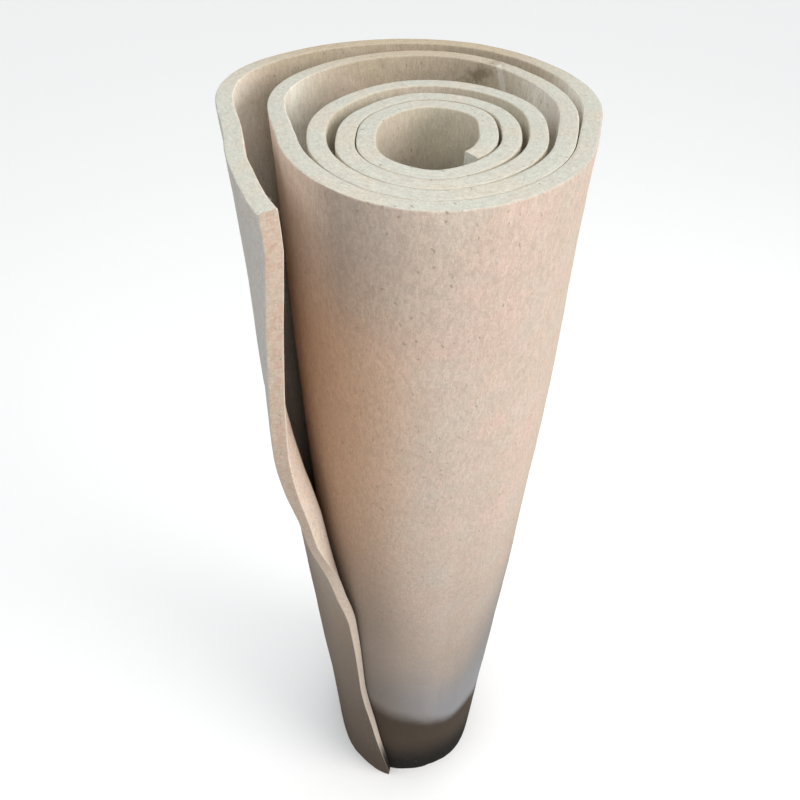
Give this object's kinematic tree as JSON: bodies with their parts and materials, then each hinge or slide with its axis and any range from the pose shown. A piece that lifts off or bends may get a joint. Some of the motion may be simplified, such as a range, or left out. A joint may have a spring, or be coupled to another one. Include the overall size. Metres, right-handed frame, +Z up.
{
  "type": "felt roll",
  "caption": "Thick wool felt wound loosely into a roll and stood on its end, turns pressed together at the front, open at the back, free edge standing off near the top.",
  "frame": {"origin": "on the floor, in the middle of the box around the roll", "axes": "+Z up along the roll, -Y to the front, where the turns press together, +X to the right as seen from the front"},
  "size_m": [0.2307, 0.2308, 1],
  "materials": {
    "natural_wool_felt": "matt undyed wool felt with short loose fibres"
  },
  "bodies": {
    "root": {"felt_sheet": "natural_wool_felt"}
  },
  "joints": []
}
